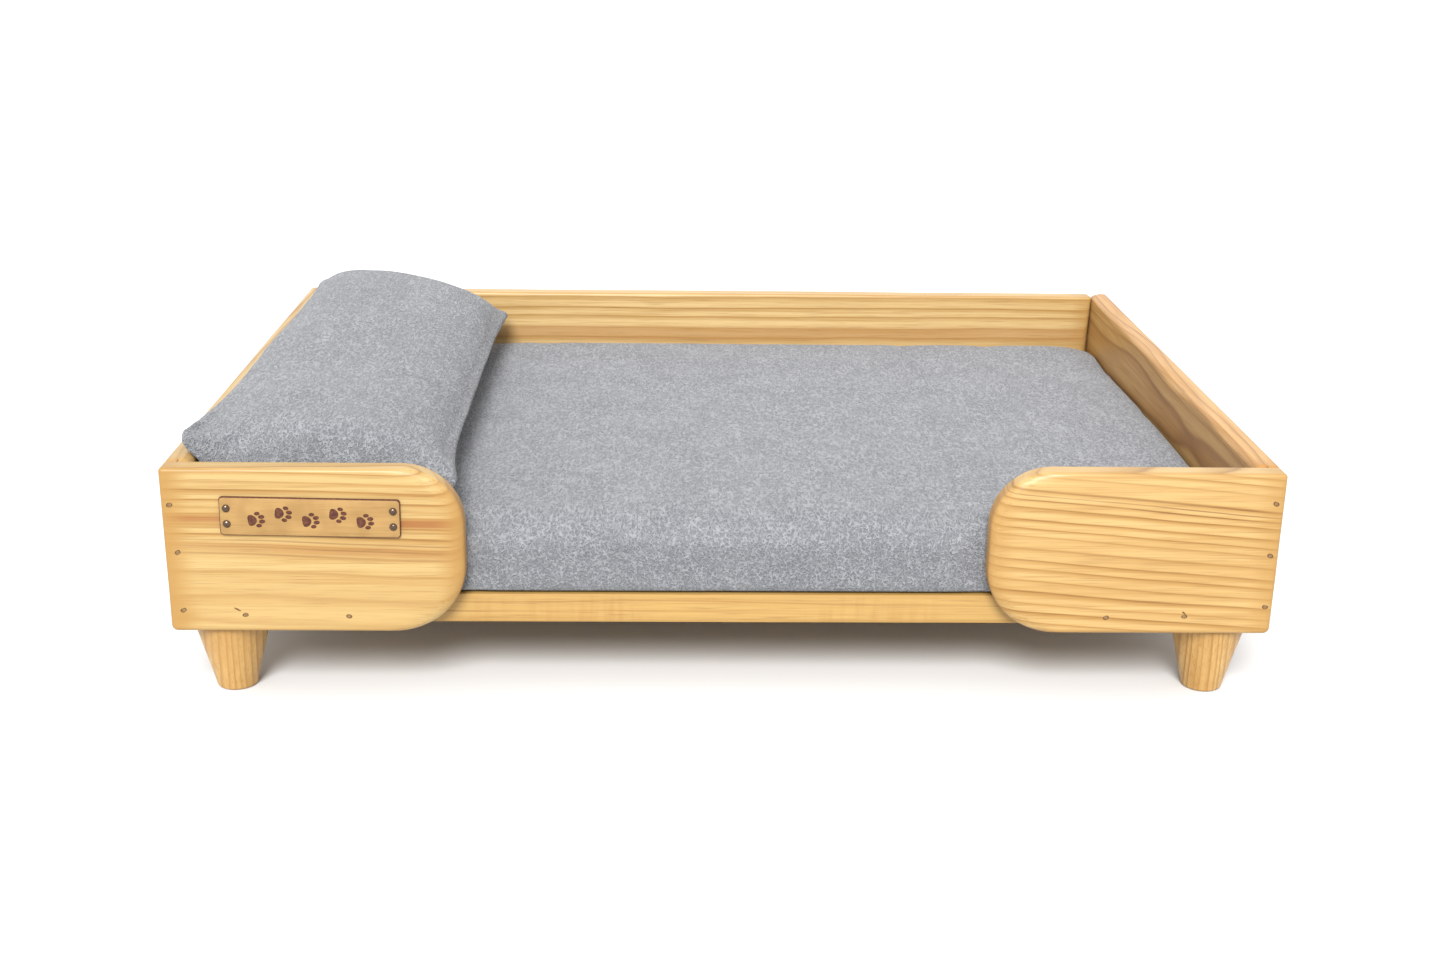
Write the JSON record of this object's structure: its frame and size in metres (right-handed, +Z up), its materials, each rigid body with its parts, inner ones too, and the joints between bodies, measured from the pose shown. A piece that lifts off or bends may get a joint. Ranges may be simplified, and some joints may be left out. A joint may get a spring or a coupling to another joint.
{
  "type": "wooden dog bed",
  "caption": "Low pine dog bed with an open front between two round-ended panels, tapered turned legs, a fitted mattress and a side pillow.",
  "frame": {"origin": "on the floor, under the middle of the wooden frame", "axes": "+X to the right seen from the front, +Y from the open front to the back board, +Z up"},
  "size_m": [0.711, 0.5118, 0.1948],
  "materials": {
    "varnished_pine": "satin varnish over honey-coloured pine",
    "base_pine": "satin varnish over pine",
    "turned_pine": "satin varnish over turned pine",
    "nail_steel": "dark nail heads",
    "zinc_steel": "zinc plated",
    "name_plate": "matte tan with a burnt edge",
    "tack_metal": "dark antique",
    "blue_grey_fabric": "mottled woven",
    "foam": "open-cell foam",
    "fibre_fill": "loose fibre",
    "zip_tape": "woven tape with a nylon coil",
    "zip_metal": "satin"
  },
  "bodies": {
    "frame": {"left_side_board": "varnished_pine", "right_side_board": "varnished_pine", "back_board": "varnished_pine", "front_left_panel": "varnished_pine", "front_right_panel": "varnished_pine", "base_plank_1": "base_pine", "base_plank_2": "base_pine", "base_plank_3": "base_pine", "base_plank_4": "base_pine", "leg_front_left": "turned_pine", "leg_front_right": "turned_pine", "leg_back_left": "turned_pine", "leg_back_right": "turned_pine", "hanger_bolt_front_left": "zinc_steel", "hanger_bolt_front_right": "zinc_steel", "hanger_bolt_back_left": "zinc_steel", "hanger_bolt_back_right": "zinc_steel", "tee_nut_front_left": "zinc_steel", "tee_nut_front_right": "zinc_steel", "tee_nut_back_left": "zinc_steel", "tee_nut_back_right": "zinc_steel", "front_left_nail_1": "nail_steel", "front_left_nail_2": "nail_steel", "front_left_nail_3": "nail_steel", "front_left_nail_4": "nail_steel", "front_left_nail_5": "nail_steel", "front_right_nail_1": "nail_steel", "front_right_nail_2": "nail_steel", "front_right_nail_3": "nail_steel", "front_right_nail_4": "nail_steel", "front_right_nail_5": "nail_steel", "back_left_nail_1": "nail_steel", "back_left_nail_2": "nail_steel", "back_left_nail_3": "nail_steel", "back_right_nail_1": "nail_steel", "back_right_nail_2": "nail_steel", "back_right_nail_3": "nail_steel", "plank_left_nail_1": "nail_steel", "plank_left_nail_2": "nail_steel", "plank_left_nail_3": "nail_steel", "plank_left_nail_4": "nail_steel", "plank_right_nail_1": "nail_steel", "plank_right_nail_2": "nail_steel", "plank_right_nail_3": "nail_steel", "plank_right_nail_4": "nail_steel", "name_plate": "name_plate", "plate_tack_1": "tack_metal", "plate_tack_2": "tack_metal", "plate_tack_3": "tack_metal", "plate_tack_4": "tack_metal"},
    "mattress": {"mattress_cover": "blue_grey_fabric", "mattress_core": "foam", "mattress_zip": "zip_tape"},
    "mattress_slider": {"mattress_zip_slider": "zip_metal"},
    "pillow": {"pillow_cover": "blue_grey_fabric", "pillow_fill": "fibre_fill", "pillow_zip": "zip_tape"},
    "pillow_slider": {"pillow_zip_slider": "zip_metal"}
  },
  "joints": [
    {"name": "mattress_lift", "type": "slide", "parent": "frame", "child": "mattress", "axis": [0, 0, 1], "range_m": [0, 0.16]},
    {"name": "pillow_lift", "type": "slide", "parent": "mattress", "child": "pillow", "axis": [0, 0, 1], "range_m": [0, 0.12]},
    {"name": "mattress_zip_run", "type": "slide", "parent": "mattress", "child": "mattress_slider", "axis": [-1, 0, 0], "range_m": [0, 0.542]},
    {"name": "pillow_zip_run", "type": "slide", "parent": "pillow", "child": "pillow_slider", "axis": [-0.986, 0, 0.1668], "range_m": [0, 0.072]}
  ]
}
